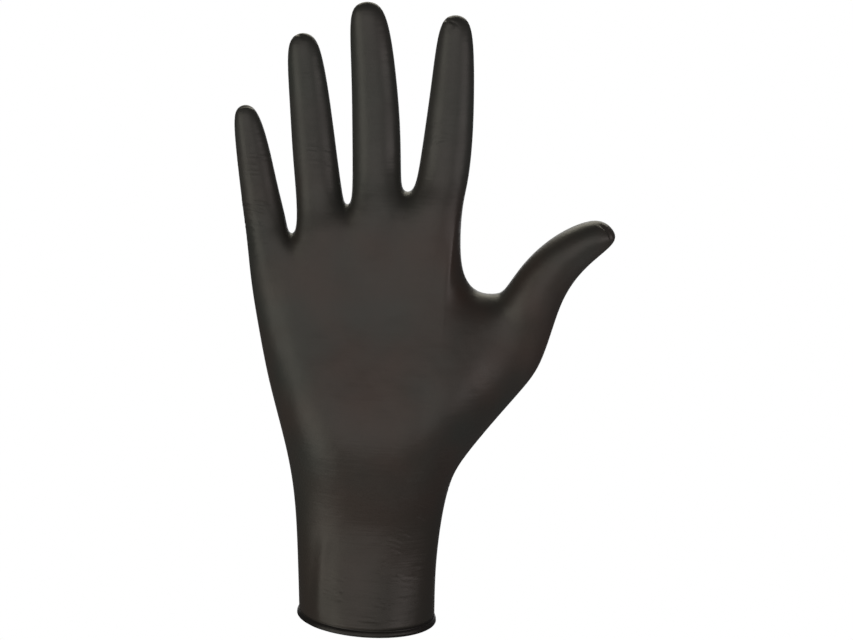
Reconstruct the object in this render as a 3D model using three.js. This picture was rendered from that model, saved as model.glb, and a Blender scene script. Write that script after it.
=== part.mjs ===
// Nitrile exam glove for the right side, filled out, with its fingers up and spread.
// It is one dipped film: the palm, the back, the five fingers and the cuff are one wall,
// hollow from the fingertips to the cuff, and the film's open end is rolled into a bead.
//
// Millimetres. The origin is the centre of the cuff opening, +Z runs up to the fingers,
// -Y is the palm side and +X the thumb side.
//
// The outer skin is a cage of quads, rounded by Catmull-Clark smoothing. The inner skin is the
// outer one moved in by the wall, and the bead joins the two around the opening.

import * as THREE from "three";

// Film
const wallThickness = 1;
const beadDiameter = 3.2;
const beadProud = 0.8; // how far the bead stands out past the film above it

// Cuff and wrist
const cuffLength = 57.2; // hem to wrist
const hemBreadth = 53.2;
const hemDepth = 57;
const wristBreadth = 61.6;
const wristDepth = 42;

// Palm
const palmLength = 109; // wrist to the fork of the middle finger
const palmLean = 3.9; // the middle finger's root stands this far to the little finger's side
const palmFront = 12.5; // from the glove's middle plane to the palm, at the finger roots
const palmBack = 11.5; // and to the back
const thenarPad = 9;
const hypothenarPad = 7;
const knuckleRise = 1.6;

// Fingers: length from fork to tip, breadth and depth at the root
const littleLength = 53;
const littleBreadth = 16.2;
const ringLength = 74.2;
const ringBreadth = 17.9;
const middleLength = 76.4;
const middleBreadth = 18.8;
const indexLength = 72.9;
const indexBreadth = 19.8;
const thumbLength = 54.2;
const thumbBreadth = 21;
const thumbRootBreadth = 35.6; // web to knuckle, across the ball of the thumb
const thumbReach = 57; // from the middle finger's root out to the thumb's root
const fingerDepth = 0.9; // depth over breadth at the root
const thumbDepth = 1.05;

// Webs
const littleRingWeb = 3.4;
const ringMiddleWeb = 2.6;
const middleIndexWeb = 4.1;
const webFall = 5; // fall of the web's skin to the palm side, from its edge
const webFallBack = 9; // and to the back
const webRoundness = 6; // the skin curves over this far in from the thumb's web, by the index finger
const webRoundnessLow = 11; // and at the web's lowest part

// Smoothness
const smoothings = 1;
const beadSides = 6;

const degrees = Math.PI / 180;
const lerp = THREE.MathUtils.lerp;
const smoothstep = THREE.MathUtils.smoothstep;

// Sections of a finger, from above the fork to the last one before the tip cap.
// along: share of the finger's length; breadth, depth: shares of its own root values;
// bow: sideways shift to the thumb's side, as a share of its breadth.
const littleSections = [
  { along: 0.12, breadth: 1.0, depth: 1.0, bow: 0.03 },
  { along: 0.36, breadth: 0.9, depth: 0.92, bow: 0.0 },
  { along: 0.62, breadth: 0.82, depth: 0.86, bow: 0.0 },
  { along: 0.84, breadth: 0.7, depth: 0.74, bow: -0.01 },
  { along: 0.965, breadth: 0.5, depth: 0.52, bow: -0.03 },
];
const ringSections = [
  { along: 0.12, breadth: 1.0, depth: 1.0, bow: 0.02 },
  { along: 0.36, breadth: 0.96, depth: 0.94, bow: 0.0 },
  { along: 0.62, breadth: 0.88, depth: 0.87, bow: 0.01 },
  { along: 0.84, breadth: 0.79, depth: 0.76, bow: 0.0 },
  { along: 0.965, breadth: 0.62, depth: 0.56, bow: -0.01 },
];
const middleSections = [
  { along: 0.12, breadth: 1.0, depth: 1.0, bow: 0.02 },
  { along: 0.36, breadth: 1.0, depth: 0.95, bow: 0.06 },
  { along: 0.62, breadth: 0.92, depth: 0.87, bow: 0.06 },
  { along: 0.84, breadth: 0.84, depth: 0.76, bow: 0.03 },
  { along: 0.97, breadth: 0.66, depth: 0.56, bow: -0.01 },
];
const indexSections = [
  { along: 0.12, breadth: 1.0, depth: 1.0, bow: 0.06 },
  { along: 0.36, breadth: 0.96, depth: 0.92, bow: 0.09 },
  { along: 0.62, breadth: 0.845, depth: 0.84, bow: 0.08 },
  { along: 0.84, breadth: 0.74, depth: 0.74, bow: 0.05 },
  { along: 0.97, breadth: 0.56, depth: 0.55, bow: 0.03 },
];
const thumbSections = [
  { along: 0.16, breadth: 1.16, depth: 1.08, bow: -0.13 },
  { along: 0.4, breadth: 0.97, depth: 0.95, bow: -0.315 },
  { along: 0.64, breadth: 0.84, depth: 0.93, bow: -0.32 },
  { along: 0.84, breadth: 0.75, depth: 0.84, bow: -0.2 },
  { along: 0.965, breadth: 0.56, depth: 0.6, bow: -0.09 },
];

// Digits from the little finger to the thumb. fan: lean from +Z to the thumb's side, degrees;
// fork: height of the root over the wrist, as a share of the palm's length;
// curl: how far the tip comes forward to the palm side, as a share of the digit's length;
// set: the root's place in depth, as a share of the palm's front depth, minus forward;
// base: depth of the glove at the root, as a share of the palm's and the back's.
const digits = [
  { name: "little", length: littleLength, breadth: littleBreadth, depth: fingerDepth, fan: -10.9,
    fork: 0.839, curl: 0.1, set: 0.06, base: 0.76, sections: littleSections },
  { name: "ring", length: ringLength, breadth: ringBreadth, depth: fingerDepth, fan: -7.7,
    fork: 0.905, curl: 0.1, set: 0.1, base: 0.96, sections: ringSections },
  { name: "middle", length: middleLength, breadth: middleBreadth, depth: fingerDepth, fan: -5.3,
    fork: 1.0, curl: 0.09, set: 0.1, base: 1, sections: middleSections },
  { name: "index", length: indexLength, breadth: indexBreadth, depth: fingerDepth, fan: 2.3,
    fork: 0.998, curl: 0.08, set: 0.06, base: 1, sections: indexSections },
  { name: "thumb", length: thumbLength, breadth: thumbBreadth, depth: thumbDepth, fan: 38,
    fork: 0.56, curl: 0.1, set: -0.35, base: 1, sections: thumbSections },
];
const middle = digits.findIndex((digit) => digit.name === "middle");
const thumb = digits.findIndex((digit) => digit.name === "thumb");
const thumbRootTilt = 58.7; // of the line from the web to the thumb's knuckle, degrees down

// Webs between neighbours. rise: of the web's edge over the midpoint of the two roots, as a
// share of the palm's length.
const webs = [
  { width: littleRingWeb, rise: 0.009 },
  { width: ringMiddleWeb, rise: 0.043 },
  { width: middleIndexWeb, rise: 0.047 },
];
// The long web from the index finger round to the thumb: steps along its bend.
const thumbWebSteps = 4;
const thumbWebCorner = { across: -0.1, down: 1.19 }; // shares of the bend's own span
const webDepth = 0.86; // depth where a web meets the palm or the back, as a share of theirs
const sideDepth = 0.62; // the same, a tenth of a turn round the outer side of a root
const thumbWebLow = 0.6; // its lowest part begins at this share of its length
const thumbWebInset = { start: 0.3, end: 0.6 }; // of its partners, shares of the roundness
const thumbWebSamples = 24; // places along it that distances are taken from

// Rows of the palm from the finger roots to the wrist. down: share of the way;
// left, right: how far the sides bulge past a straight line, as a share of the wrist's breadth.
const palmRows = [
  { down: 0.18, left: 0.028, right: 0.0 },
  { down: 0.38, left: 0.034, right: -0.014 },
  { down: 0.6, left: 0.036, right: -0.024 },
  { down: 0.82, left: 0.008, right: -0.026 },
  { down: 1.0, left: 0, right: 0 },
];

// Rows of the cuff below the wrist. up: share of the cuff's length; breadth, depth: 0 at the
// hem's and 1 at the wrist's; lean: shift to the thumb's side, as a share of the hem's breadth.
const cuffRows = [
  { up: 0.7, breadth: 0.4, depth: 1.18, lean: -0.024 },
  { up: 0.34, breadth: 0.07, depth: 0.84, lean: -0.022 },
  { up: 0.0, breadth: 0.0, depth: 0.0, lean: -0.004 },
];
const wristFade = 0.75; // the wrist's depth reaches this share of the palm's length up
const roundFade = { little: 0.75, thumb: 0.3 }; // and so far up its round sides
const wristLean = -0.022; // as a share of the hem's breadth

// Pads and knuckles that stand out of the palm's and the back's even skin.
// across: place from the palm's middle line, as a share of the wrist's breadth; up: over the
// wrist, and reach: radius, as shares of the palm's length; height in mm; side -1 is the palm.
const pads = [
  { across: 0.48, up: 0.28, reach: 0.26, height: thenarPad, side: -1 },
  { across: 0.12, up: 0.15, reach: 0.14, height: thenarPad * 0.35, side: -1 },
  { across: -0.44, up: 0.26, reach: 0.23, height: hypothenarPad, side: -1 },
  { across: -0.22, up: 0.13, reach: 0.13, height: hypothenarPad * 0.45, side: -1 },
  { across: -0.64, up: 0.66, reach: 0.09, height: knuckleRise, side: 1 },
  { across: -0.38, up: 0.72, reach: 0.09, height: knuckleRise, side: 1 },
  { across: -0.06, up: 0.78, reach: 0.1, height: knuckleRise, side: 1 },
  { across: 0.28, up: 0.76, reach: 0.1, height: knuckleRise, side: 1 },
];

// A cage of points and quads.
function makeCage() {
  return { points: [], quads: [] };
}

function addPoint(cage, x, y, z) {
  cage.points.push(new THREE.Vector3(x, y, z));
  return cage.points.length - 1;
}

// Quads between two closed rings of point numbers, counter-clockwise seen from above.
function addBand(cage, lower, upper) {
  lower.forEach((a, i) => {
    const next = (i + 1) % lower.length;
    cage.quads.push([a, lower[next], upper[next], upper[i]]);
  });
}

// Unit vectors of a digit in the glove's plane: along it, and across it to the thumb's side.
function digitAxes(digit) {
  const angle = digit.fan * degrees;
  return {
    along: { x: Math.sin(angle), z: Math.cos(angle) },
    across: { x: Math.cos(angle), z: -Math.sin(angle) },
  };
}

// Root centres of the digits: the fingers stand side by side, breadths and webs apart.
function rootCentres() {
  const height = (digit) => cuffLength + digit.fork * palmLength;
  const centres = digits.map((digit) => ({ x: -palmLean, z: height(digit) }));
  const step = (i) => (digits[i].breadth + digits[i + 1].breadth) / 2 + webs[i].width;
  for (let i = middle - 1; i >= 0; i--) centres[i].x = centres[i + 1].x - step(i);
  centres[middle + 1].x = centres[middle].x + step(middle);
  centres[thumb].x = centres[middle].x + thumbReach;
  return centres;
}

// The ten directions of a digit's ring, from its little-finger side round by the palm side.
const ringSize = 10;
const ringShape = Array.from({ length: ringSize }, (_, i) => {
  const angle = Math.PI + (i * 2 * Math.PI) / ringSize;
  return { across: Math.cos(angle), out: Math.sin(angle) };
});
// Smoothing pulls a ring of ten in by this factor, so rings are made that much larger.
const ringSwell = 1 / (0.75 + 0.25 * Math.cos((2 * Math.PI) / ringSize));
// The cage's tip stands past the finger's length by this factor, and is flat over this share.
const tipOvershoot = 1.02;
const tipFlat = 0.34;

// Place on a digit's curved centre line, with the sideways bow and the forward curl.
function digitCentre(digit, root, along, bow) {
  const axes = digitAxes(digit);
  const length = digit.length * along;
  const shift = digit.breadth * bow;
  return {
    x: root.x + axes.along.x * length + axes.across.x * shift,
    y: digit.set * palmFront - digit.curl * digit.length * along * along,
    z: root.z + axes.along.z * length + axes.across.z * shift,
  };
}

// One ring of a digit, as point numbers.
function addDigitRing(cage, digit, root, section) {
  const centre = digitCentre(digit, root, section.along, section.bow);
  const { across } = digitAxes(digit);
  const halfBreadth = (digit.breadth / 2) * section.breadth * ringSwell;
  const halfDepth = (digit.breadth / 2) * digit.depth * section.depth * ringSwell;
  return ringShape.map((way) =>
    addPoint(
      cage,
      centre.x + across.x * halfBreadth * way.across,
      centre.y + halfDepth * way.out,
      centre.z + across.z * halfBreadth * way.across,
    ),
  );
}

// The rounded tip: a patch of three by two quads inside the last ring.
function addTip(cage, digit, root, ring) {
  const { across } = digitAxes(digit);
  const last = digit.sections.at(-1);
  const centre = digitCentre(digit, root, tipOvershoot, last.bow);
  const spread = (digit.breadth / 2) * last.breadth * tipFlat;
  const [left, right] = [-spread, spread].map((shift) =>
    addPoint(cage, centre.x + across.x * shift, centre.y, centre.z + across.z * shift),
  );
  const grid = [
    [ring[1], ring[2], ring[3], ring[4]],
    [ring[0], left, right, ring[5]],
    [ring[9], ring[8], ring[7], ring[6]],
  ];
  for (let row = 0; row < 2; row++)
    for (let i = 0; i < 3; i++)
      cage.quads.push([grid[row][i], grid[row][i + 1], grid[row + 1][i + 1], grid[row + 1][i]]);
}

// A point of a web's edge with its partners on the palm and on the back.
function addWebPoint(cage, x, z, inwardX, inwardZ, front, back) {
  return {
    edge: addPoint(cage, x, 0, z),
    palm: addPoint(cage, x + inwardX * front.in, -front.depth, z + inwardZ * front.in),
    back: addPoint(cage, x + inwardX * back.in, back.depth, z + inwardZ * back.in),
  };
}

// The outer side of the glove at the little finger's root or the thumb's.
function addOuterSide(cage, x, z, inwardX, inwardZ, halfBreadth, base) {
  const inset = halfBreadth * (1 - Math.cos((2 * Math.PI) / ringSize));
  return addWebPoint(
    cage, x, z, inwardX, inwardZ,
    { in: inset, depth: palmFront * base * sideDepth },
    { in: inset, depth: palmBack * base * sideDepth },
  );
}

// Way from the thumb's web to the knuckle of its root, and half of the root's breadth.
function thumbRoot() {
  const tilt = thumbRootTilt * degrees;
  return { way: { x: Math.cos(tilt), z: -Math.sin(tilt) }, half: thumbRootBreadth / 2 };
}

// The edge of the long web, which bends from the index finger's side down and round to the thumb.
function thumbWebLine(centres) {
  const index = thumb - 1;
  const root = thumbRoot();
  const start = { x: centres[index].x + digits[index].breadth / 2, z: centres[index].z };
  const end = {
    x: centres[thumb].x - root.way.x * root.half,
    z: centres[thumb].z - root.way.z * root.half,
  };
  const corner = {
    x: start.x + thumbWebCorner.across * (end.x - start.x),
    z: start.z + thumbWebCorner.down * (end.z - start.z),
  };
  return new THREE.QuadraticBezierCurve(
    new THREE.Vector2(start.x, start.z),
    new THREE.Vector2(corner.x, corner.z),
    new THREE.Vector2(end.x, end.z),
  );
}

// How far in the skin curves over, at a share t of the long web's length.
function webReach(t) {
  return lerp(webRoundness, webRoundnessLow, smoothstep(t, 0, thumbWebLow));
}

// Depth of the skin at a distance in from the long web, as a share of the palm's: a quarter of
// an ellipse.
function webSwell(distance, t) {
  const rest = 1 - Math.min(distance / webReach(t), 1);
  return Math.sqrt(1 - rest * rest);
}

// The corner columns where the roots meet the palm: for each digit its left and right side.
function addRootSides(cage, centres) {
  const sides = digits.map(() => ({}));
  const half = digits.map((digit) => digit.breadth / 2);
  webs.forEach((web, i) => {
    const a = digitAxes(digits[i]).across;
    const b = digitAxes(digits[i + 1]).across;
    const x = (centres[i].x + a.x * half[i] + centres[i + 1].x - b.x * half[i + 1]) / 2;
    const z =
      (centres[i].z + a.z * half[i] + centres[i + 1].z - b.z * half[i + 1]) / 2 +
      web.rise * palmLength;
    const front = { in: webFall, depth: palmFront * webDepth };
    const back = { in: webFallBack, depth: palmBack * webDepth };
    sides[i].right = addWebPoint(cage, x - web.width / 2, z, 0, -1, front, back);
    sides[i + 1].left = addWebPoint(cage, x + web.width / 2, z, 0, -1, front, back);
  });

  const little = digitAxes(digits[0]).across;
  sides[0].left = addOuterSide(
    cage,
    centres[0].x - little.x * half[0],
    centres[0].z - little.z * half[0],
    little.x, little.z, half[0], digits[0].base,
  );

  const root = thumbRoot();
  sides[thumb].right = addOuterSide(
    cage,
    centres[thumb].x + root.way.x * root.half,
    centres[thumb].z + root.way.z * root.half,
    -root.way.x, -root.way.z, root.half * 0.7, digits[thumb].base,
  );

  const bend = thumbWebLine(centres);
  const steps = Array.from({ length: thumbWebSteps + 1 }, (_, i) => {
    const t = i / thumbWebSteps;
    const place = bend.getPoint(t);
    const way = bend.getTangent(t);
    const low = smoothstep(t, 0, thumbWebLow);
    const inset = webReach(t) * lerp(thumbWebInset.start, thumbWebInset.end, low);
    const deep = webSwell(inset, t);
    return addWebPoint(
      cage, place.x, place.y, way.y, -way.x,
      { in: inset, depth: palmFront * deep },
      { in: inset, depth: palmBack * deep },
    );
  });
  sides[thumb - 1].right = steps[0];
  sides[thumb].left = steps.at(-1);
  return { sides, longWeb: steps };
}

// Two points across a digit's root on the palm, and two on the back, between its side columns.
function addRootFace(cage, left, right, depth) {
  return [1 / 3, 2 / 3].map((share) => {
    const place = cage.points[left].clone().lerp(cage.points[right], share);
    return addPoint(cage, place.x, depth, place.z);
  });
}

// All digits with their webs. Returns the ring of point numbers where the palm goes on.
function addDigits(cage) {
  const centres = rootCentres();
  const { sides, longWeb } = addRootSides(cage, centres);
  const palmLine = [];
  const backLine = [];
  digits.forEach((digit, i) => {
    const { left, right } = sides[i];
    const front = addRootFace(cage, left.palm, right.palm, -palmFront * digit.base);
    const back = addRootFace(cage, left.back, right.back, palmBack * digit.base);
    const root = [
      left.edge, left.palm, ...front, right.palm,
      right.edge, right.back, back[1], back[0], left.back,
    ];
    let lower = root;
    for (const section of digit.sections) {
      const upper = addDigitRing(cage, digit, centres[i], section);
      addBand(cage, lower, upper);
      lower = upper;
    }
    addTip(cage, digit, centres[i], lower);
    if (i === thumb)
      for (const step of longWeb.slice(1, -1)) {
        palmLine.push(step.palm);
        backLine.push(step.back);
      }
    palmLine.push(left.palm, ...front, right.palm);
    backLine.push(left.back, ...back, right.back);
  });

  const joins = webs.map((_, i) => [sides[i].right, sides[i + 1].left]);
  for (let i = 0; i < thumbWebSteps; i++) joins.push([longWeb[i], longWeb[i + 1]]);
  for (const [a, b] of joins) {
    cage.quads.push([a.palm, b.palm, b.edge, a.edge]);
    cage.quads.push([a.edge, b.edge, b.back, a.back]);
  }
  return [sides[0].left.edge, ...palmLine, sides[thumb].right.edge, ...backLine.reverse()];
}

// A round section of the cuff or wrist at a given column, 0 to 1 round by the palm side.
function cuffPoint(turn, height, halfBreadth, halfDepth, lean) {
  const angle = Math.PI + turn * 2 * Math.PI;
  return new THREE.Vector3(
    lean + halfBreadth * Math.cos(angle),
    halfDepth * Math.sin(angle),
    height,
  );
}

// Height of the pads over the even skin at a place on the palm or on the back.
function padHeight(x, z, side) {
  return pads
    .filter((pad) => pad.side === side)
    .reduce((sum, pad) => {
      const dx = x - pad.across * wristBreadth;
      const dz = z - cuffLength - pad.up * palmLength;
      const reach = pad.reach * palmLength;
      return sum + pad.height * Math.exp(-(dx * dx + dz * dz) / (reach * reach));
    }, 0);
}

// Even depth of the skin between the glove's two sides: flat across the palm and round at its
// sides near the fingers, an ellipse at the wrist. across runs from -1 to 1.
function evenDepth(across, z, palmDepth) {
  const upTo = (share) => smoothstep(z, cuffLength, cuffLength + share * palmLength);
  const depth = lerp(wristDepth / 2, palmDepth, upTo(wristFade));
  const power = lerp(2, 4, upTo(across < 0 ? roundFade.little : roundFade.thumb));
  return depth * Math.sqrt(Math.max(0, 1 - Math.abs(across) ** power));
}

// The palm and back from the finger roots down to the wrist, as rows of the same columns.
function addPalm(cage, top) {
  const columns = top.length;
  const lean = wristLean * hemBreadth;
  const web = thumbWebLine(rootCentres()).getPoints(thumbWebSamples);
  let upper = top;
  for (const row of palmRows) {
    const places = top.map((start, i) => {
      const turn = i / columns;
      const from = cage.points[start];
      const to = cuffPoint(turn, cuffLength, wristBreadth / 2, wristDepth / 2, lean);
      const share = turn < 0.5 ? turn * 2 : 2 - turn * 2;
      const bulge = wristBreadth * (row.right * share - row.left * (1 - share));
      return { x: lerp(from.x, to.x, row.down) + bulge, z: lerp(from.z, to.z, row.down) };
    });
    const left = places[0].x;
    const right = places[columns / 2].x;
    const ring = places.map(({ x, z }, i) => {
      const side = i < columns / 2 ? -1 : 1;
      const across = (2 * (x - left)) / (right - left) - 1;
      const fromWeb = web.map((place) => Math.hypot(place.x - x, place.y - z));
      const near = Math.min(...fromWeb);
      const swell = webSwell(near, fromWeb.indexOf(near) / thumbWebSamples);
      const even = evenDepth(across, z, side < 0 ? palmFront : palmBack) * swell;
      const pad = padHeight(x, z, side) * Math.sqrt(Math.max(0, 1 - across ** 4));
      return addPoint(cage, x, side * (even + pad), z);
    });
    addBand(cage, ring, upper);
    upper = ring;
  }
  return upper;
}

// The cuff from the wrist down to the bead.
function addCuff(cage, wrist) {
  let upper = wrist;
  for (const row of cuffRows) {
    const height = lerp(beadDiameter, cuffLength, row.up);
    const ring = wrist.map((_, i) => {
      const place = cuffPoint(
        i / wrist.length,
        height,
        lerp(hemBreadth, wristBreadth, row.breadth) / 2,
        lerp(hemDepth, wristDepth, row.depth) / 2,
        row.lean * hemBreadth,
      );
      return addPoint(cage, place.x, place.y, place.z);
    });
    addBand(cage, ring, upper);
    upper = ring;
  }
  return upper;
}

// One step of Catmull-Clark smoothing. The open edge keeps its own line.
function smoothed(cage) {
  const next = makeCage();
  next.points = cage.points.map((point) => point.clone());
  const faceSums = cage.points.map(() => ({ sum: new THREE.Vector3(), count: 0 }));
  const edges = new Map();
  const facePoints = cage.quads.map((quad) => {
    const centre = new THREE.Vector3();
    for (const corner of quad) centre.addScaledVector(cage.points[corner], 0.25);
    for (const corner of quad) {
      faceSums[corner].sum.add(centre);
      faceSums[corner].count += 1;
    }
    quad.forEach((a, i) => {
      const b = quad[(i + 1) % 4];
      const key = a < b ? `${a} ${b}` : `${b} ${a}`;
      if (!edges.has(key)) edges.set(key, { ends: [a, b], centres: [] });
      edges.get(key).centres.push(centre);
    });
    return addPoint(next, centre.x, centre.y, centre.z);
  });

  const edgeSums = cage.points.map(() => ({ sum: new THREE.Vector3(), count: 0 }));
  const rimSums = cage.points.map(() => ({ sum: new THREE.Vector3(), count: 0 }));
  for (const edge of edges.values()) {
    const [a, b] = edge.ends;
    const middlePoint = cage.points[a].clone().add(cage.points[b]).multiplyScalar(0.5);
    const onRim = edge.centres.length === 1;
    for (const end of [a, b]) {
      const sums = onRim ? rimSums[end] : edgeSums[end];
      sums.sum.add(middlePoint);
      sums.count += 1;
    }
    const place = middlePoint.clone();
    if (!onRim)
      place.multiplyScalar(2).add(edge.centres[0]).add(edge.centres[1]).multiplyScalar(0.25);
    edge.point = addPoint(next, place.x, place.y, place.z);
  }

  cage.points.forEach((point, i) => {
    const rim = rimSums[i];
    if (rim.count) {
      next.points[i].copy(point).multiplyScalar(0.5).addScaledVector(rim.sum, 0.25);
      return;
    }
    const count = faceSums[i].count;
    next.points[i]
      .copy(point)
      .multiplyScalar(count - 3)
      .addScaledVector(faceSums[i].sum, 1 / count)
      .addScaledVector(edgeSums[i].sum, 2 / edgeSums[i].count)
      .divideScalar(count);
  });

  const edgeOf = (a, b) => edges.get(a < b ? `${a} ${b}` : `${b} ${a}`).point;
  cage.quads.forEach((quad, f) => {
    quad.forEach((corner, i) => {
      const after = edgeOf(corner, quad[(i + 1) % 4]);
      const before = edgeOf(quad[(i + 3) % 4], corner);
      next.quads.push([corner, after, facePoints[f], before]);
    });
  });
  return next;
}

// Outward unit normals at the cage's points.
function normalsOf(cage) {
  const normals = cage.points.map(() => new THREE.Vector3());
  for (const [a, b, c, d] of cage.quads) {
    const one = cage.points[c].clone().sub(cage.points[a]);
    const two = cage.points[d].clone().sub(cage.points[b]);
    const normal = one.cross(two);
    for (const corner of [a, b, c, d]) normals[corner].add(normal);
  }
  return normals.map((normal) => normal.normalize());
}

// The points along the open edge, in order round it.
function rimOf(cage) {
  const after = new Map();
  const paired = new Set();
  for (const quad of cage.quads)
    quad.forEach((a, i) => paired.add(`${a} ${quad[(i + 1) % 4]}`));
  for (const step of paired) {
    const [a, b] = step.split(" ").map(Number);
    if (!paired.has(`${b} ${a}`)) after.set(a, b);
  }
  const first = after.keys().next().value;
  const rim = [first];
  for (let i = after.get(first); i !== first; i = after.get(i)) rim.push(i);
  return rim;
}

// The closed wall: outer skin, inner skin, and the rolled bead that joins them.
function glove() {
  let skin = makeCage();
  const top = addDigits(skin);
  addCuff(skin, addPalm(skin, top));
  for (let i = 0; i < smoothings; i++) skin = smoothed(skin);

  const normals = normalsOf(skin);
  const count = skin.points.length;
  const solid = makeCage();
  solid.points = skin.points.map((point) => point.clone());
  skin.points.forEach((point, i) => {
    const inner = point.clone().addScaledVector(normals[i], -wallThickness);
    addPoint(solid, inner.x, inner.y, inner.z);
  });
  solid.quads = skin.quads.map((quad) => [...quad]);
  for (const quad of skin.quads)
    solid.quads.push(quad.map((corner) => corner + count).reverse());

  // The bead is round; the film enters it at the top, nearer its inner side.
  const rim = rimOf(skin);
  const radius = beadDiameter / 2;
  const filmAt = radius - beadProud; // the outer skin, out from the bead's centre line
  const startAngle = Math.acos(filmAt / radius);
  const endAngle = Math.acos((filmAt - wallThickness) / radius) - 2 * Math.PI;
  const rings = [rim];
  for (let i = 1; i < beadSides; i++) {
    const angle = lerp(startAngle, endAngle, i / beadSides);
    rings.push(
      rim.map((corner) => {
        const point = skin.points[corner];
        const out = new THREE.Vector2(normals[corner].x, normals[corner].y).normalize();
        const reach = radius * Math.cos(angle) - filmAt;
        const drop = radius * (Math.sin(angle) - Math.sin(startAngle));
        return addPoint(solid, point.x + out.x * reach, point.y + out.y * reach, point.z + drop);
      }),
    );
  }
  rings.push(rim.map((corner) => corner + count));
  for (let i = 0; i + 1 < rings.length; i++) addBand(solid, rings[i + 1], rings[i]);
  return solid;
}

// Quads to triangles.
function geometryOf(cage) {
  const geometry = new THREE.BufferGeometry();
  geometry.setAttribute(
    "position",
    new THREE.Float32BufferAttribute(cage.points.flatMap((point) => point.toArray()), 3),
  );
  geometry.setIndex(cage.quads.flatMap(([a, b, c, d]) => [a, b, c, a, c, d]));
  geometry.computeVertexNormals();
  return geometry;
}

const nitrile = new THREE.MeshStandardMaterial({
  color: new THREE.Color(0.045, 0.042, 0.038),
  roughness: 0.5,
  metalness: 0,
});

const group = new THREE.Group();
const film = new THREE.Mesh(geometryOf(glove()), nitrile);
film.name = "glove_film";
group.add(film);

export default group;
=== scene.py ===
"""Looks of the nitrile exam glove: a refined film skin, its rolled bead, and a soft studio."""

import math
import random
from collections import namedtuple

import bmesh
import bpy
import numpy as np
from mathutils import Matrix, Vector
from mathutils.bvhtree import BVHTree


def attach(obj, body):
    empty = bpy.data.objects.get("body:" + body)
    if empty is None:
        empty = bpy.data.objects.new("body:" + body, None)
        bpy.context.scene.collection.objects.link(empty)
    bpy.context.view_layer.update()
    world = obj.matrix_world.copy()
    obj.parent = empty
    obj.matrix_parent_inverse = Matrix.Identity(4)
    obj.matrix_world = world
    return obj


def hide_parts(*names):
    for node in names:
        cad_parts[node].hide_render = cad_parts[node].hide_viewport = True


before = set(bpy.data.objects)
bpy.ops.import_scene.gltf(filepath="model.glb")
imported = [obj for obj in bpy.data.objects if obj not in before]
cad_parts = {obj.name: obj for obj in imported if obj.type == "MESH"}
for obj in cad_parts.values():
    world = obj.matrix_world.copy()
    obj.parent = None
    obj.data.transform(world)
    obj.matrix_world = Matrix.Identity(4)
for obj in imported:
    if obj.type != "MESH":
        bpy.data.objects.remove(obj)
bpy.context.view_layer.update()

MM = 0.001
NODE = "glove_film"

# Camera, at the photograph's angle
IMAGE_WIDTH = 853
SENSOR = 36.0
CAMERA_DISTANCE = 1.4
CAMERA_TARGET = Vector((0.0174, 0.0, 0.1200))
CAMERA_ELEVATION = math.radians(12.0)
CAMERA_ROLL = math.radians(2.9)
METRES_PER_PIXEL = 0.000385  # at the target

# Film mesh
CORNER_MERGE = 0.001 * MM
BEAD_CUT = 2.7 * MM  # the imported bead's own corners lie below this height
SKIN_LEVELS = 1  # smoothing of both skins, before the outer one is refined
SURFACE_LEVELS = 3  # smoothing of the surface that the refined skin is laid on
SKIN_STEP = 1.5 * MM  # length of an edge, away from the creases and near them
CREASE_STEP = 0.5 * MM
SPLIT_OVER = 1.34  # an edge is split when it is longer than its step by this factor
SPLIT_PASSES = 6

# Rolled bead, measured from the outer skin and from the hem's plane
ROLL_RADIUS = 1.3 * MM
ROLL_ABOVE = 2.0 * MM  # height of the roll's upper half, and of its lower one
ROLL_BELOW = 0.6 * MM
ROLL_PROUD = 0.75 * MM
ROLL_BOTTOM = 0.15 * MM
ROLL_STEPS = 14
ROLL_START = math.radians(62)  # the roll's arc, from the groove round outside to the inner skin
ROLL_END = math.radians(-245)
GROOVE_DEPTH = 0.35 * MM
GROOVE_HEIGHT = 2.9 * MM
HEM_TILT = math.radians(1.2)
HEM_TILT_REACH = 45 * MM

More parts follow.
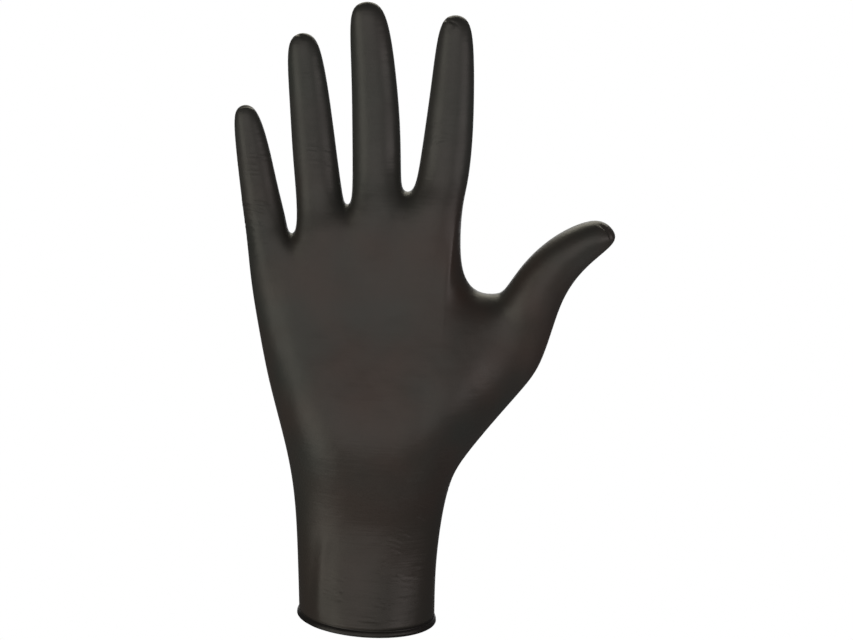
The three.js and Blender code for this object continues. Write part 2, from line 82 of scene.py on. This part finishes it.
# Wrinkles of the film, as groups of nearly parallel creases.
# side: the palm's or the back's; x, z: middle of the group; turn: of the creases from +X, degrees;
# length, gap, bow, width and depth of one crease in mm, a fold that stands out having a depth
# under 0; count: creases in the group.
PALM, BACK = -1, 1
Creases = namedtuple("Creases", "side x z turn length gap bow width depth count")
CREASES = [
    Creases(PALM, -52.0, 178.0, -4, 12, 1.7, 0.5, 0.38, 0.1, 6),
    Creases(PALM, -50.5, 158.5, -6, 14, 1.6, 0.8, 0.4, 0.2, 8),
    Creases(PALM, -50.0, 147.0, 22, 10, 1.8, 1.0, 0.4, 0.09, 6),
    Creases(PALM, -28.5, 181.5, -14, 12, 1.8, 0.8, 0.4, 0.1, 5),
    Creases(PALM, 18.5, 192.5, 24, 9, 1.6, 1.2, 0.4, 0.13, 6),
    Creases(PALM, -17.9, 20.0, 88, 42, 1.0, 0.6, 1.9, -0.26, 1),
    Creases(PALM, -13.5, 17.5, -10, 9, 1.3, 0.5, 0.3, 0.24, 8),
    Creases(PALM, 10.5, 36.5, -22, 8, 1.5, 0.6, 0.32, 0.17, 6),
    Creases(PALM, 4.5, 25.5, -8, 6, 1.6, 0.4, 0.3, 0.15, 4),
    Creases(PALM, 9.0, 20.5, -8, 22, 1.7, 0.9, 0.34, 0.22, 2),
    Creases(PALM, 5.6, 13.5, -12, 10, 1.3, 0.4, 0.3, 0.2, 4),
    Creases(PALM, 17.0, 21.0, -14, 12, 4.0, 0.6, 0.34, 0.12, 5),
    Creases(PALM, 3.5, 6.6, -7, 17, 0.9, 0.3, 0.34, 0.15, 3),
    Creases(PALM, 22.5, 50.0, -35, 9, 2.0, 0.8, 0.36, 0.13, 7),
    Creases(PALM, -55.0, 198.6, 6, 8, 1.0, 1.8, 0.4, 0.25, 1),
    Creases(PALM, -38.2, 226.6, 6, 11, 1.0, 2.4, 0.45, 0.3, 1),
    Creases(PALM, 19.0, 234.6, 4, 11, 1.0, 2.4, 0.45, 0.3, 1),
    Creases(PALM, 82.6, 159.2, -52, 11, 1.0, 2.2, 0.45, 0.3, 1),
    Creases(BACK, -51.5, 172.0, -8, 11, 1.7, 0.8, 0.4, 0.09, 6),
    Creases(BACK, -29.5, 192.0, -6, 13, 1.8, 0.8, 0.4, 0.09, 7),
    Creases(BACK, -8.5, 203.0, -5, 14, 1.8, 0.8, 0.4, 0.09, 7),
    Creases(BACK, 18.5, 200.0, 3, 13, 1.8, 0.8, 0.4, 0.09, 7),
    Creases(BACK, 62.0, 141.0, 38, 13, 1.8, 0.8, 0.4, 0.09, 6),
    Creases(BACK, -2.0, 60.0, 3, 26, 2.4, 1.0, 0.5, 0.09, 6),
    Creases(BACK, 4.0, 24.0, 12, 18, 2.1, 0.6, 0.4, 0.08, 7),
]

# How far the creases of a group stray from its pattern
CREASE_SEED = 11
STRAY_GAP = 0.5  # of the gap, the length and, in degrees, the turn, each way
STRAY_ALONG = 0.25
STRAY_TURN = 6
HALF_LENGTHS = (0.22, 0.55)  # as shares of the group's value
BOWS = (0.5, 1.4)
WIDTHS = (0.8, 1.2)
DEPTHS = (0.5, 1.25)

# Form of one crease
CREASE_REACH = 3.2  # the fine mesh reaches this many widths off it, and past its ends
CREASE_ENDS = 1.15
FADE_ALONG = 0.45  # its depth fades from here to its ends, at 1
FADE_ROUND = (-0.15, 0.25)  # and where the skin turns away from its side
SWELL_PLACE = 1.9  # widths from its line to the swell beside it
SWELL_SHARE = 0.4

# Film colours as pairs of tones to drift between, and the heights where they change. The cuff's
# tones are darker than the palm's as painted shade, and the fingers' tones are lighter as painted
# light.
CUFF_SHADED_TONES = (0.042, 0.034, 0.029), (0.035, 0.033, 0.028)
PALM_TONES = (0.050, 0.0355, 0.030), (0.035, 0.037, 0.034)
FINGER_LIT_TONES = (0.046, 0.044, 0.042), (0.040, 0.045, 0.041)
ROLL_PAINTED_SHADE = (0.008, 0.0065, 0.006)  # painted shade: the roll's colour is darkened for the shade under the flare and on its underside
CUFF_TO_PALM = (35 * MM, 85 * MM)
PALM_TO_FINGERS = (145 * MM, 185 * MM)
ROLL_TO_CUFF = (2.8 * MM, 3.6 * MM)
ROUGHNESS = (0.40, 0.48)

# Noises of the film: how large, how detailed, and which part of the values is spread to 0 and 1
Noise = namedtuple("Noise", "scale detail span")
TONE_DRIFT = Noise(28.0, 2.0, (0.35, 0.65))
GLOSS_HAZE = Noise(60.0, 4.0, (0.3, 0.7))

# Relief of the film from fine to coarse, then the stretch marks on top
Relief = namedtuple("Relief", "scale detail strength depth")
RELIEFS = [
    Relief(1400.0, 3.0, 0.25, 0.06 * MM),
    Relief(170.0, 2.0, 0.3, 0.4 * MM),
    Relief(60.0, 2.0, 0.5, 1.2 * MM),
]
STREAKS = Relief(190.0, 3.0, 0.45, 0.2 * MM)
STREAK_SQUEEZE = (0.35, 0.35, 4.0)  # they run level
PALM_STREAKS = 0.3  # their share over the palm, where the film is less stretched
STREAKS_FADE = (70 * MM, 105 * MM)
STREAKS_RETURN = (150 * MM, 180 * MM)

# Soft lights round the glove. azimuth: from the camera's side towards +X; elevation: degrees;
# distance, width and height in metres; glow: brightness of the panel against white; tint: its
# colour.
Panel = namedtuple("Panel", "name azimuth elevation distance width height glow tint")
PANELS = [
    Panel("key_left", -57, -10, 1.2, 0.72, 1.3, 1.5, (1.0, 0.95, 0.82)),
    Panel("fill_right", 60, -1, 0.45, 0.36, 0.12, 2.6, (1.0, 0.88, 0.84)),
    Panel("front_wall", -3, 4, 1.8, 2.1, 1.6, 0.99, (1.0, 0.91, 0.85)),
    Panel("top_back", 180, 40, 1.2, 1.3, 0.5, 3.0, (1.0, 0.95, 0.78)),
    Panel("back_wall", 180, 4, 1.6, 1.2, 1.3, 1.4, (1.0, 1.0, 1.0)),
]
WHITE = (1, 1, 1, 1)
ROOM_GLOW = 0.06
FLOOR_HEIGHT = -1.7
FLOOR_RADIUS = 0.9
FLOOR_SIDES = 96
FLOOR_TONE = (0.9, 0.9, 0.9, 1)
FLOOR_ROUGHNESS = 0.9
FLOOR_GLOW = 0.9


def smoothstep(low, high, value):
    t = np.clip((value - low) / (high - low), 0.0, 1.0)
    return t * t * (3 - 2 * t)


# One crease: its middle, its direction and its form, in metres
Crease = namedtuple("Crease", "side x z cos sin half bow width depth")


def spread_creases(groups):
    """The single creases of every group, each a little off the pattern unless it is alone."""
    draw = random.Random(CREASE_SEED)
    creases = []
    for group in groups:
        if group.count == 1:
            turn = math.radians(group.turn)
            creases.append(Crease(
                group.side, group.x * MM, group.z * MM, math.cos(turn), math.sin(turn),
                group.length / 2 * MM, group.bow * MM, group.width * MM, group.depth * MM,
            ))
            continue
        for i in range(group.count):
            stray = draw.uniform(-STRAY_GAP, STRAY_GAP)
            off = (i - (group.count - 1) / 2 + stray) * group.gap
            along = draw.uniform(-STRAY_ALONG, STRAY_ALONG) * group.length
            turn = math.radians(group.turn + draw.uniform(-STRAY_TURN, STRAY_TURN))
            cos, sin = math.cos(turn), math.sin(turn)
            creases.append(Crease(
                side=group.side,
                x=(group.x + along * cos - off * sin) * MM,
                z=(group.z + along * sin + off * cos) * MM,
                cos=cos,
                sin=sin,
                half=group.length * draw.uniform(*HALF_LENGTHS) * MM,
                bow=group.bow * draw.uniform(*BOWS) * MM,
                width=group.width * draw.uniform(*WIDTHS) * MM,
                depth=group.depth * draw.uniform(*DEPTHS) * MM,
            ))
    return creases


def crease_place(crease, points):
    """Signed distance off the crease's bowed line, and place along it from -1 to 1."""
    dx = points[:, 0] - crease.x
    dz = points[:, 2] - crease.z
    along = (dx * crease.cos + dz * crease.sin) / crease.half
    off = -dx * crease.sin + dz * crease.cos
    return off - crease.bow * (1 - along * along), along


def film_parts():
    """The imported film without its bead, as two cages of quads: the outer skin and the inner."""
    bm = bmesh.new()
    bm.from_mesh(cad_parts[NODE].data)
    bmesh.ops.remove_doubles(bm, verts=bm.verts, dist=CORNER_MERGE)
    bmesh.ops.delete(bm, geom=[v for v in bm.verts if v.co.z < BEAD_CUT], context="VERTS")
    bmesh.ops.join_triangles(
        bm, faces=bm.faces, angle_face_threshold=math.pi, angle_shape_threshold=math.pi
    )
    top = max(bm.verts, key=lambda v: v.co.z)
    outer = {top}
    edge_of_reach = [top]
    while edge_of_reach:
        vert = edge_of_reach.pop()
        for link in vert.link_edges:
            other = link.other_vert(vert)
            if other not in outer:
                outer.add(other)
                edge_of_reach.append(other)
    inner_bm = bm.copy()
    outer_numbers = {v.index for v in outer}
    inner_bm.verts.ensure_lookup_table()
    bmesh.ops.delete(
        inner_bm, geom=[v for v in inner_bm.verts if v.index in outer_numbers], context="VERTS"
    )
    bmesh.ops.delete(bm, geom=[v for v in bm.verts if v not in outer], context="VERTS")
    return bm, inner_bm


def subdivided(bm, levels):
    """The cage's smooth surface after some levels of Catmull-Clark, as a new bmesh."""
    mesh = bpy.data.meshes.new("cage")
    bm.to_mesh(mesh)
    cage = bpy.data.objects.new("cage", mesh)
    bpy.context.scene.collection.objects.link(cage)
    smooth = cage.modifiers.new("smooth", "SUBSURF")
    smooth.levels = levels
    bpy.context.view_layer.update()
    graph = bpy.context.evaluated_depsgraph_get()
    result = bmesh.new()
    result.from_mesh(cage.evaluated_get(graph).to_mesh())
    bpy.data.objects.remove(cage)
    bpy.data.meshes.remove(mesh)
    return result


def refine(bm, creases):
    """Splits long edges, finer near the creases. The rim keeps its own edges."""
    for _ in range(SPLIT_PASSES):
        bm.edges.ensure_lookup_table()
        ends = np.array([[*e.verts[0].co, *e.verts[1].co] for e in bm.edges])
        lengths = np.linalg.norm(ends[:, :3] - ends[:, 3:], axis=1)
        middles = (ends[:, :3] + ends[:, 3:]) / 2
        sides = np.sign(middles[:, 1])
        steps = np.full(len(middles), SKIN_STEP)
        for crease in creases:
            off, along = crease_place(crease, middles)
            near = (np.abs(off) < CREASE_REACH * crease.width) & (np.abs(along) < CREASE_ENDS)
            steps[near & (sides == crease.side)] = CREASE_STEP
        chosen = [
            e for e, length, step in zip(bm.edges, lengths, steps)
            if length > step * SPLIT_OVER and not e.is_boundary
        ]
        if not chosen:
            break
        bmesh.ops.subdivide_edges(bm, edges=chosen, cuts=1, use_grid_fill=True)


def lay_on(bm, surface):
    """Moves the skin's points onto the smooth surface."""
    tree = BVHTree.FromBMesh(surface)
    for vert in bm.verts:
        if not vert.is_boundary:
            vert.co = tree.find_nearest(vert.co)[0]


def dent(bm, creases):
    """Presses the creases into the skin, with a low swell on both sides of each."""
    bm.normal_update()
    points = np.array([v.co for v in bm.verts])
    normals = np.array([v.normal for v in bm.verts])
    lift = np.zeros(len(points))
    for crease in creases:
        off, along = crease_place(crease, points)
        fade = smoothstep(1.0, FADE_ALONG, np.abs(along))
        fade *= smoothstep(*FADE_ROUND, normals[:, 1] * crease.side)
        line = np.exp(-((off / crease.width) ** 2))
        swell = np.exp(-(((np.abs(off) - SWELL_PLACE * crease.width) / crease.width) ** 2))
        lift += crease.depth * fade * (SWELL_SHARE * swell - line)
    points += normals * lift[:, None]
    for vert, place in zip(bm.verts, points):
        vert.co = place


def rim_loop(bm):
    """The rim's vertices in order, from the one furthest to -X, palm side first."""
    rim = [v for v in bm.verts if v.is_boundary]
    start = min(rim, key=lambda v: v.co.x)
    loop = [start]
    way = min(
        (e.other_vert(start) for e in start.link_edges if e.is_boundary), key=lambda v: v.co.y
    )
    while way is not start:
        before = loop[-1]
        loop.append(way)
        way = next(
            e.other_vert(way) for e in way.link_edges
            if e.is_boundary and e.other_vert(way) is not before
        )
    return loop


def bead_section():
    """The bead's section from the film down round the roll: (out from the outer skin, height)."""
    section = [(-GROOVE_DEPTH, GROOVE_HEIGHT)]
    for i in range(ROLL_STEPS + 1):
        angle = ROLL_START + (ROLL_END - ROLL_START) * i / ROLL_STEPS
        half_height = ROLL_ABOVE if math.sin(angle) > 0 else ROLL_BELOW
        section.append((
            ROLL_PROUD - ROLL_RADIUS + ROLL_RADIUS * math.cos(angle),
            ROLL_BOTTOM + ROLL_BELOW + half_height * math.sin(angle),
        ))
    return section


def join_with_bead(outer, inner):
    """One closed mesh: the two skins and the rolled bead between their rims."""
    mesh = bpy.data.meshes.new("inner")
    inner.to_mesh(mesh)
    count = len(outer.verts)
    rim = rim_loop(outer)
    inner_rim_numbers = [v.index for v in rim_loop(inner)]
    outer.from_mesh(mesh)
    bpy.data.meshes.remove(mesh)
    outer.verts.ensure_lookup_table()
    inner_rim = [outer.verts[count + i] for i in inner_rim_numbers]
    rings = [rim]
    outs = []
    for i in range(len(rim)):
        way = rim[(i + 1) % len(rim)].co - rim[i - 1].co
        outs.append(Vector((way.y, -way.x, 0)).normalized())
    for out, height in bead_section():
        rings.append([
            outer.verts.new((v.co.x + o.x * out, v.co.y + o.y * out, height))
            for v, o in zip(rim, outs)
        ])
    rings.append(inner_rim)
    for upper, lower in zip(rings, rings[1:]):
        for i in range(len(rim)):
            k = (i + 1) % len(rim)
            outer.faces.new((upper[i], lower[i], lower[k], upper[k]))
    bmesh.ops.recalc_face_normals(outer, faces=outer.faces)
    return outer


def tilt_hem(bm):
    """Drops the hem a little on the thumb's side."""
    for vert in bm.verts:
        fade = 1 - smoothstep(0, HEM_TILT_REACH, vert.co.z)
        vert.co.z -= math.tan(HEM_TILT) * vert.co.x * fade


def build_film():
    """The film as one closed, smooth-shaded piece."""
    outer_cage, inner_cage = film_parts()
    creases = spread_creases(CREASES)
    outer = subdivided(outer_cage, SKIN_LEVELS)
    inner = subdivided(inner_cage, SKIN_LEVELS)
    refine(outer, creases)
    lay_on(outer, subdivided(outer_cage, SURFACE_LEVELS))
    dent(outer, creases)
    film = join_with_bead(outer, inner)
    tilt_hem(film)
    mesh = bpy.data.meshes.new("glove_film_skin")
    film.to_mesh(mesh)
    mesh.polygons.foreach_set("use_smooth", [True] * len(mesh.polygons))
    piece = bpy.data.objects.new("glove_film_skin", mesh)
    bpy.context.scene.collection.objects.link(piece)
    return piece


def node(tree, kind, **inputs):
    """A shader node with its sockets set: a value, or another node's socket."""
    made = tree.nodes.new(kind)
    for name, value in inputs.items():
        socket = made.inputs[name.replace("_", " ")]
        if isinstance(value, bpy.types.NodeSocket):
            tree.links.new(value, socket)
        else:
            socket.default_value = value
    return made


def mixed(tree, factor, low, high):
    """Colour from low to high by the factor; either may be a colour or a socket."""
    mix = tree.nodes.new("ShaderNodeMix")
    mix.data_type = "RGBA"
    sockets = {socket.name: socket for socket in mix.inputs if socket.enabled}
    tree.links.new(factor, sockets["Factor"])
    for name, colour in (("A", low), ("B", high)):
        if isinstance(colour, tuple):
            sockets[name].default_value = (*colour, 1.0)
        else:
            tree.links.new(colour, sockets[name])
    return next(socket for socket in mix.outputs if socket.enabled)


def ranged(tree, value, span, to=(0.0, 1.0)):
    """The value's place in the span, held within it, as a number between the two of `to`."""
    change = node(
        tree, "ShaderNodeMapRange", Value=value,
        From_Min=span[0], From_Max=span[1], To_Min=to[0], To_Max=to[1],
    )
    return change.outputs["Result"]


def calculated(tree, operation, first, second):
    made = tree.nodes.new("ShaderNodeMath")
    made.operation = operation
    tree.links.new(first, made.inputs[0])
    tree.links.new(second, made.inputs[1])
    return made.outputs[0]


def noise(tree, place, kind):
    made = node(tree, "ShaderNodeTexNoise", Vector=place, Scale=kind.scale, Detail=kind.detail)
    return made.outputs["Fac"]


def bump(tree, relief, height, **under):
    """The normal with one relief on it, over the normal given as Normal."""
    made = node(
        tree, "ShaderNodeBump",
        Strength=relief.strength, Distance=relief.depth, Height=height, **under,
    )
    return made.outputs["Normal"]


def nitrile():
    """Satin black film: slow drifts of colour and gloss, painted shade on the cuff and the rolled
    bead, painted light on the fingers, a fine grain and stretch marks.
    """
    material = bpy.data.materials.new("nitrile")
    material.use_nodes = True
    tree = material.node_tree
    shader = tree.nodes["Principled BSDF"]
    place = tree.nodes.new("ShaderNodeTexCoord").outputs["Object"]
    height = node(tree, "ShaderNodeSeparateXYZ", Vector=place).outputs["Z"]

    drift = ranged(tree, noise(tree, place, TONE_DRIFT), TONE_DRIFT.span)
    shaded_cuff, palm, lit_fingers = (
        mixed(tree, drift, *tones) for tones in (CUFF_SHADED_TONES, PALM_TONES, FINGER_LIT_TONES)
    )
    # painted shade: the cuff is darker than the palm; painted light: the fingers are lighter than
    # the palm
    colour = mixed(tree, ranged(tree, height, CUFF_TO_PALM), shaded_cuff, palm)
    colour = mixed(tree, ranged(tree, height, PALM_TO_FINGERS), colour, lit_fingers)
    # painted shade: the rolled bead is darkened below the cuff
    colour = mixed(tree, ranged(tree, height, ROLL_TO_CUFF), ROLL_PAINTED_SHADE, colour)
    tree.links.new(colour, shader.inputs["Base Color"])

    rough = ranged(tree, noise(tree, place, GLOSS_HAZE), GLOSS_HAZE.span, ROUGHNESS)
    tree.links.new(rough, shader.inputs["Roughness"])

    under = {}
    for relief in RELIEFS:
        under = {"Normal": bump(tree, relief, noise(tree, place, relief), **under)}

    squeezed = node(tree, "ShaderNodeMapping", Vector=place, Scale=STREAK_SQUEEZE)
    streaks = noise(tree, squeezed.outputs["Vector"], STREAKS)
    share = calculated(
        tree, "MAXIMUM",
        ranged(tree, height, STREAKS_FADE, (1.0, PALM_STREAKS)),
        ranged(tree, height, STREAKS_RETURN, (PALM_STREAKS, 1.0)),
    )
    stretched = bump(tree, STREAKS, calculated(tree, "MULTIPLY", streaks, share), **under)
    tree.links.new(stretched, shader.inputs["Normal"])
    return material


def add_panel(panel):
    """One light panel that faces the camera's target and isn't seen itself."""
    light = bpy.data.lights.new(panel.name, "AREA")
    light.shape = "RECTANGLE"
    light.size = panel.width
    light.size_y = panel.height
    light.energy = panel.glow * math.pi * panel.width * panel.height
    light.color = panel.tint
    lamp = bpy.data.objects.new(panel.name, light)
    azimuth, elevation = math.radians(panel.azimuth), math.radians(panel.elevation)
    way = Vector((
        math.sin(azimuth) * math.cos(elevation),
        -math.cos(azimuth) * math.cos(elevation),
        math.sin(elevation),
    ))
    lamp.location = CAMERA_TARGET + way * panel.distance
    lamp.rotation_mode = "QUATERNION"
    lamp.rotation_quaternion = (-way).to_track_quat("-Z", "Y")
    lamp.visible_camera = False
    bpy.context.scene.collection.objects.link(lamp)


def add_world():
    """White where the camera looks past everything, and a dim room for the reflections."""
    world = bpy.data.worlds.new("studio")
    bpy.context.scene.world = world
    world.use_nodes = True
    tree = world.node_tree
    tree.nodes.clear()
    white = node(tree, "ShaderNodeBackground", Color=WHITE, Strength=1.0)
    room = node(tree, "ShaderNodeBackground", Color=WHITE, Strength=ROOM_GLOW)
    seen = tree.nodes.new("ShaderNodeLightPath").outputs["Is Camera Ray"]
    mix = tree.nodes.new("ShaderNodeMixShader")
    tree.links.new(seen, mix.inputs[0])
    tree.links.new(room.outputs[0], mix.inputs[1])
    tree.links.new(white.outputs[0], mix.inputs[2])
    node(tree, "ShaderNodeOutputWorld", Surface=mix.outputs[0])


def add_floor():
    """A pale floor, far below the held glove."""
    bpy.ops.mesh.primitive_circle_add(
        vertices=FLOOR_SIDES, radius=FLOOR_RADIUS, fill_type="NGON",
        location=(0, 0, FLOOR_HEIGHT),
    )
    floor = bpy.context.object
    floor.name = "floor"
    pale = bpy.data.materials.new("pale_floor")
    pale.use_nodes = True
    surface = pale.node_tree.nodes["Principled BSDF"]
    surface.inputs["Base Color"].default_value = FLOOR_TONE
    surface.inputs["Roughness"].default_value = FLOOR_ROUGHNESS
    surface.inputs["Emission Color"].default_value = WHITE
    surface.inputs["Emission Strength"].default_value = FLOOR_GLOW
    floor.data.materials.append(pale)


def add_camera():
    data = bpy.data.cameras.new("camera")
    data.sensor_width = SENSOR
    data.lens = SENSOR * CAMERA_DISTANCE / (METRES_PER_PIXEL * IMAGE_WIDTH)
    camera = bpy.data.objects.new("camera", data)
    bpy.context.scene.collection.objects.link(camera)
    back = Vector((0, -math.cos(CAMERA_ELEVATION), math.sin(CAMERA_ELEVATION)))
    level_right = Vector((1, 0, 0))
    level_up = Vector((0, math.sin(CAMERA_ELEVATION), math.cos(CAMERA_ELEVATION)))
    cos, sin = math.cos(CAMERA_ROLL), math.sin(CAMERA_ROLL)
    right = level_right * cos + level_up * sin
    up = level_up * cos - level_right * sin
    turn = Matrix((right, up, back)).transposed().to_4x4()
    camera.matrix_world = Matrix.Translation(CAMERA_TARGET + back * CAMERA_DISTANCE) @ turn
    bpy.context.scene.camera = camera


add_camera()
for panel in PANELS:
    add_panel(panel)
add_world()
add_floor()
film = build_film()
film.data.materials.append(nitrile())
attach(film, "root")
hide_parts(NODE)
bpy.context.scene.view_settings.view_transform = "Standard"
